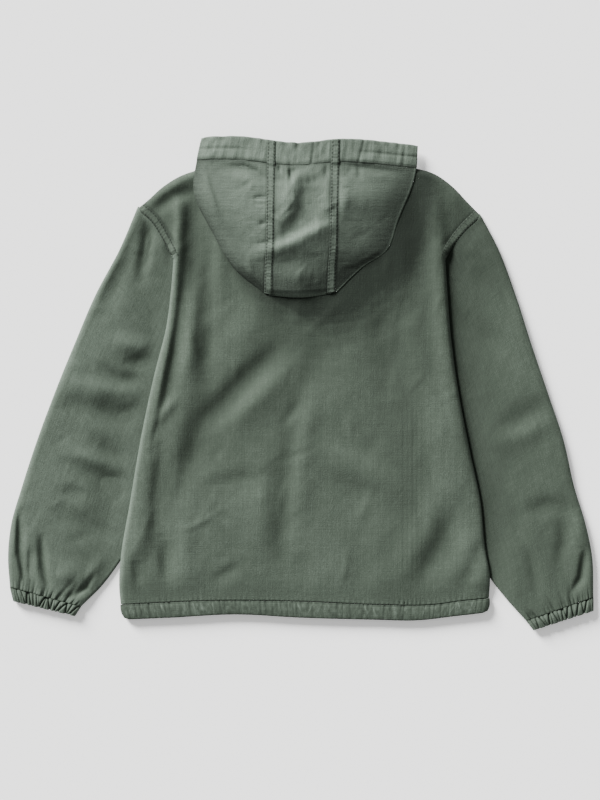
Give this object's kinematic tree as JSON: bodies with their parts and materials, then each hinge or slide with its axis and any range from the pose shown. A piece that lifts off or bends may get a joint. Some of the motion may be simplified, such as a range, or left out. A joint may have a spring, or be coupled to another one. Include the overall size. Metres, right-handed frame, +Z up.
{
  "type": "anorak smock",
  "caption": "Hooded pullover smock of cotton twill, laid flat with its back up, hood down over the back, gathered cuffs and a puckered hem casing.",
  "frame": {"origin": "middle of the garment's box, on the surface it lies on", "axes": "+X to the wearer's right across the sleeves, +Y from the hem to the hood, +Z up from the surface"},
  "size_m": [0.9059, 0.7629, 0.034],
  "materials": {
    "body_twill": "faded sage green cotton twill, matt",
    "hood_twill": "lighter faded sage green cotton, matt",
    "edge_twill": "doubled and puckered twill with worn edges, matt",
    "thread": "sewing thread in the cloth's own green"
  },
  "bodies": {
    "root": {"back": "body_twill", "front": "body_twill", "sleeve_left": "body_twill", "sleeve_right": "body_twill", "cuff_left": "edge_twill", "cuff_right": "edge_twill", "hem_casing": "edge_twill", "hood_left": "hood_twill", "hood_centre": "hood_twill", "hood_right": "hood_twill", "hood_casing": "hood_twill", "hood_seam_left": "hood_twill", "hood_seam_right": "hood_twill", "armhole_seam_left": "edge_twill", "armhole_seam_right": "edge_twill"}
  },
  "joints": []
}
